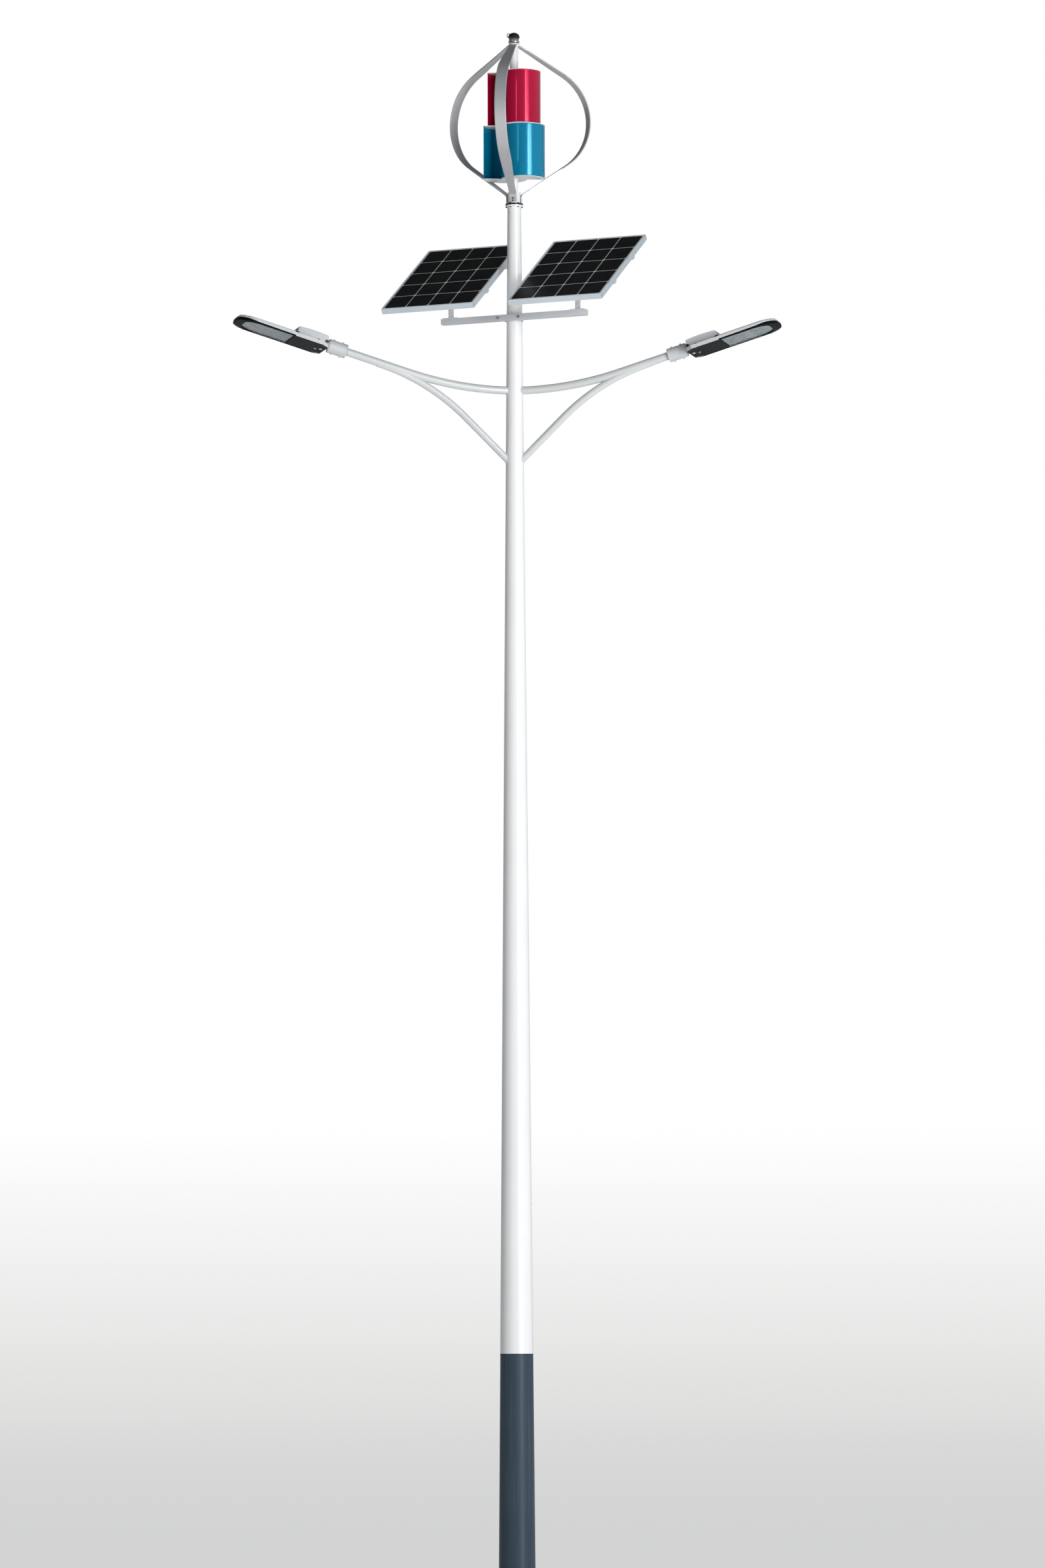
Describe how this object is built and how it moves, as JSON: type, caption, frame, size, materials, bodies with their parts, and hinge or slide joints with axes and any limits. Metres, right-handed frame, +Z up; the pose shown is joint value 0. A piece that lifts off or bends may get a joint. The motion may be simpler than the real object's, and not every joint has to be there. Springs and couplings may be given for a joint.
{
  "type": "solar street lamp",
  "caption": "Tall tapered lamp pole with curved twin arms, tilting lamp heads, tilting solar panels on a swivelling crossbar and a bowed-blade wind turbine on top.",
  "frame": {"origin": "centre of the base plate's underside, on the pole axis", "axes": "+X right, +Y to the back, where the access door is, +Z up the pole"},
  "size_m": [3.2829, 1.2336, 9.489],
  "materials": {
    "white_paint": "gloss powder coat",
    "grey_paint": "dark blue-grey powder coat",
    "galvanised": "galvanised steel",
    "dark_steel": "blackened steel fasteners",
    "zinc_steel": "zinc plated",
    "cast_grey": "light grey painted casting",
    "black_cover": "black moulded cover",
    "lens": "ribbed clear plastic over a grey reflector",
    "board": "white circuit board",
    "electronics": "potted electronics",
    "battery": "shrink wrapped battery pack",
    "cable": "cable sheath",
    "bracket_grey": "satin grey paint",
    "frame_aluminium": "anodised, faintly blue",
    "solar_cells": "toughened glass over black cells",
    "silver_blade": "satin anodised",
    "red_gloss": "gloss red",
    "blue_gloss": "gloss blue",
    "white_plate": "white paint",
    "copper": "copper windings",
    "magnet": "nickel plated magnets",
    "bearing": "ground steel",
    "cap_black": "black with bright edges"
  },
  "bodies": {
    "pole": {"base_plate": "grey_paint", "base_gussets": "grey_paint", "pole_base_section": "grey_paint", "pole_shaft": "white_paint", "door_hinge_pin": "zinc_steel", "equipment_rail": "galvanised", "battery_pack": "battery", "charge_controller": "electronics", "cable_harness": "cable", "generator_flange": "white_paint", "generator_axle": "galvanised", "generator_stator": "copper", "flange_bolts": "dark_steel", "right_arm": "white_paint", "left_arm": "white_paint", "right_spigot_sleeve": "cast_grey", "left_spigot_sleeve": "cast_grey"},
    "door": {"access_door": "grey_paint"},
    "door_latch": {"door_lock": "zinc_steel"},
    "panel_bracket": {"crossbar": "bracket_grey", "pole_collar": "bracket_grey", "collar_bolts": "zinc_steel", "bracket_posts": "bracket_grey"},
    "turbine_rotor": {"rotor_hub": "white_plate", "generator_magnets": "magnet", "rotor_shaft": "white_plate", "rotor_bearings": "bearing", "blade_1": "silver_blade", "blade_2": "silver_blade", "blade_3": "silver_blade", "blade_bolts": "dark_steel", "upper_buckets": "red_gloss", "lower_buckets": "blue_gloss", "stage_plates": "white_plate", "top_hub": "white_plate", "top_cap": "cap_black"},
    "right_panel": {"right_panel_frame": "frame_aluminium", "right_panel_laminate": "solar_cells", "right_panel_cradle": "bracket_grey", "right_junction_box": "black_cover"},
    "right_lamp_head": {"right_lamp_housing": "cast_grey", "right_driver_box": "cast_grey", "right_lens_plate": "lens", "right_led_board": "board", "right_led_driver": "electronics", "right_lamp_bolts": "dark_steel"},
    "right_lamp_cover": {"right_gear_cover": "black_cover"},
    "right_lamp_latch": {"right_cover_latch": "zinc_steel"},
    "left_panel": {"left_panel_frame": "frame_aluminium", "left_panel_laminate": "solar_cells", "left_panel_cradle": "bracket_grey", "left_junction_box": "black_cover"},
    "left_lamp_head": {"left_lamp_housing": "cast_grey", "left_driver_box": "cast_grey", "left_lens_plate": "lens", "left_led_board": "board", "left_led_driver": "electronics", "left_lamp_bolts": "dark_steel"},
    "left_lamp_cover": {"left_gear_cover": "black_cover"},
    "left_lamp_latch": {"left_cover_latch": "zinc_steel"}
  },
  "joints": [
    {"name": "turbine_spin", "type": "hinge", "parent": "pole", "child": "turbine_rotor", "pos_m": [0, 0, 8.442], "axis": [0, 0, 1], "continuous": true},
    {"name": "bracket_swivel", "type": "hinge", "parent": "pole", "child": "panel_bracket", "pos_m": [0, 0, 7.737], "axis": [0, 0, 1], "range_deg": [-30, 30]},
    {"name": "access_door_hinge", "type": "hinge", "parent": "pole", "child": "door", "pos_m": [-0.077, 0.08385, 0.7], "axis": [0, 0, 1], "range_deg": [0, 110]},
    {"name": "door_lock_turn", "type": "hinge", "parent": "door", "child": "door_latch", "pos_m": [0.02221, 0.10451, 0.7], "axis": [0.2079, 0.9781, 0], "range_deg": [0, 90]},
    {"name": "right_panel_tilt", "type": "hinge", "parent": "panel_bracket", "child": "right_panel", "pos_m": [0.35258, -0.23579, 7.896], "axis": [0.9135, -0.4067, 0], "range_deg": [-20, 20]},
    {"name": "right_lamp_tilt", "type": "hinge", "parent": "pole", "child": "right_lamp_head", "pos_m": [1.05912, -0.26407, 7.51938], "axis": [-0.2419, -0.9703, 0], "range_deg": [-15, 15]},
    {"name": "right_cover_hinge", "type": "hinge", "parent": "right_lamp_head", "child": "right_lamp_cover", "pos_m": [1.25292, -0.31239, 7.54048], "axis": [-0.2419, -0.9703, 0], "range_deg": [0, 85]},
    {"name": "right_latch_turn", "type": "hinge", "parent": "right_lamp_cover", "child": "right_lamp_latch", "pos_m": [1.1096, -0.27665, 7.49516], "axis": [0.2756, -0.0687, -0.9588], "range_deg": [0, 90]},
    {"name": "left_panel_tilt", "type": "hinge", "parent": "panel_bracket", "child": "left_panel", "pos_m": [-0.41115, 0.10424, 7.896], "axis": [0.9135, -0.4067, 0], "range_deg": [-20, 20]},
    {"name": "left_lamp_tilt", "type": "hinge", "parent": "pole", "child": "left_lamp_head", "pos_m": [-1.14378, -0.28518, 7.54523], "axis": [-0.2419, 0.9703, 0], "range_deg": [-15, 15]},
    {"name": "left_cover_hinge", "type": "hinge", "parent": "left_lamp_head", "child": "left_lamp_cover", "pos_m": [-1.33758, -0.3335, 7.56632], "axis": [-0.2419, 0.9703, 0], "range_deg": [0, 85]},
    {"name": "left_latch_turn", "type": "hinge", "parent": "left_lamp_cover", "child": "left_lamp_latch", "pos_m": [-1.19426, -0.29776, 7.521], "axis": [-0.2756, -0.0687, -0.9588], "range_deg": [0, 90]}
  ]
}
